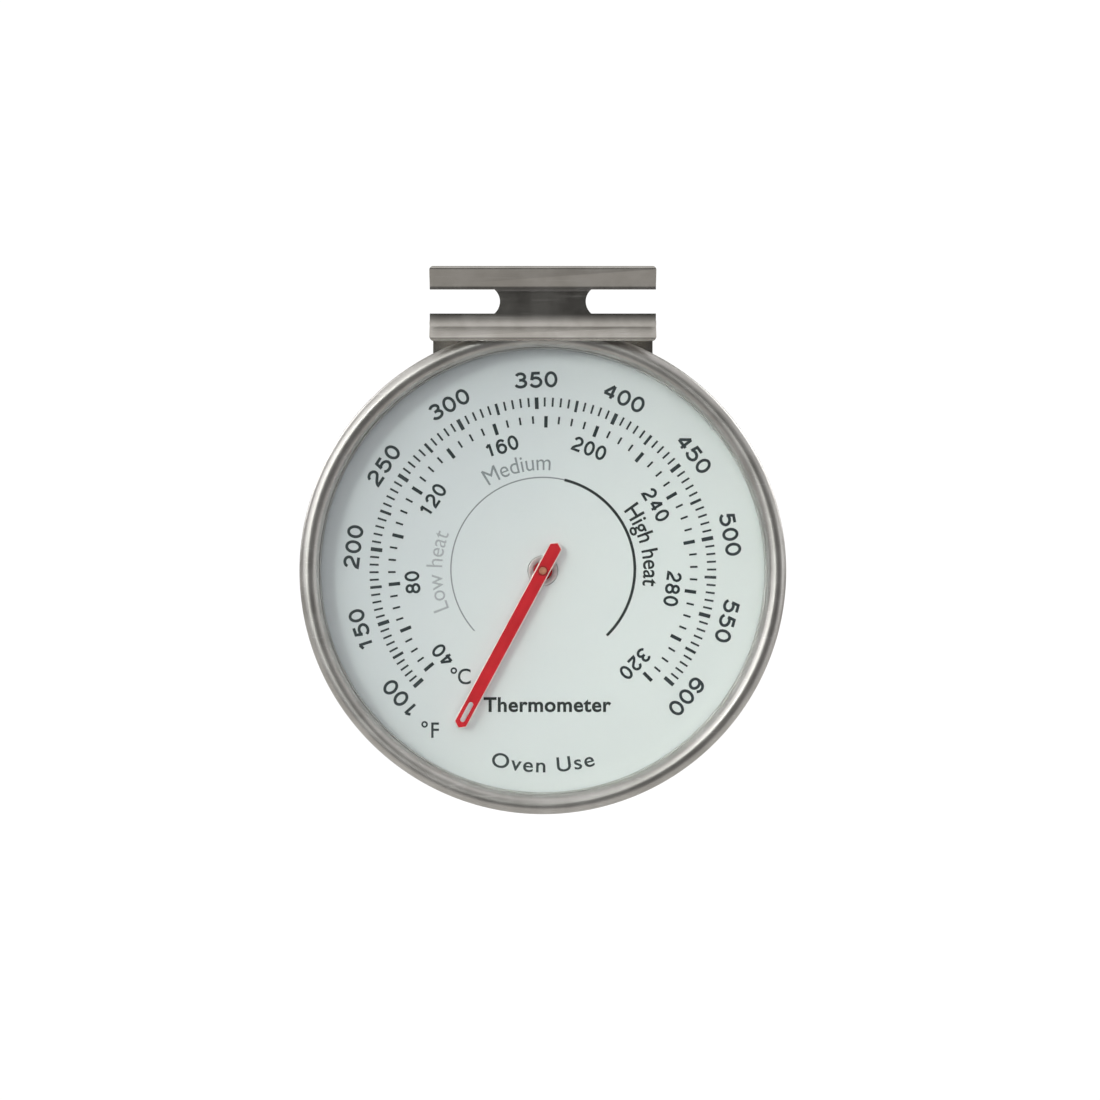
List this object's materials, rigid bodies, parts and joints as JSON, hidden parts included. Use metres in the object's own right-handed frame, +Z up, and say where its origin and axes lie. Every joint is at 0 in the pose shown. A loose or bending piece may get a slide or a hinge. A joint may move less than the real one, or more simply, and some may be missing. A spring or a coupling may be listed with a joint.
{
  "type": "oven thermometer",
  "caption": "Round dial oven thermometer with a rolled steel bezel, a red pointer turned by a bimetal spiral, and a slotted clip that hangs it on the wires of an oven rack.",
  "frame": {"origin": "where the pointer's axis meets the back face of the hanger plate", "axes": "+Z up, the dial faces -Y, +X to the right of someone who reads the dial"},
  "size_m": [0.0826, 0.0204, 0.0927],
  "materials": {
    "satin_steel": "satin stainless steel with fine brushing and small scratches",
    "clear_glass": "clear, polished",
    "silicone": "matt, heat resistant",
    "dial_enamel": "pale grey-green, silky, with black printing",
    "red_paint": "satin red",
    "copper_alloy": "turned",
    "brass": "turned",
    "bimetal_strip": "rolled strip, slightly darkened by heat",
    "plated_steel": "bright zinc plating"
  },
  "bodies": {
    "case": {"bezel_ring": "satin_steel", "case_cup": "satin_steel", "spacer_ring": "satin_steel", "hanger_plate": "satin_steel", "rack_clip": "satin_steel", "hanger_rivet_left": "satin_steel", "hanger_rivet_right": "satin_steel", "clip_rivet_left": "satin_steel", "clip_rivet_right": "satin_steel", "lens": "clear_glass", "lens_gasket": "silicone", "dial_plate": "dial_enamel", "thrust_washer": "copper_alloy", "coil_post_cap": "brass", "front_bearing_bush": "brass", "rear_bearing_bush": "brass", "bimetal_coil": "bimetal_strip", "coil_anchor_post": "plated_steel", "movement_bridge": "plated_steel", "bridge_standoff_left": "plated_steel", "bridge_standoff_right": "plated_steel", "bridge_screw_left": "plated_steel", "bridge_screw_right": "plated_steel"},
    "pointer": {"pointer": "red_paint", "pointer_hub": "red_paint", "pointer_shaft": "copper_alloy", "coil_collet": "brass"}
  },
  "joints": [
    {"name": "pointer_turn", "type": "hinge", "parent": "case", "child": "pointer", "pos_m": [0, 0, 0], "axis": [0, 1, 0], "range_deg": [-13, 285], "deforming": ["bimetal_coil"]}
  ]
}
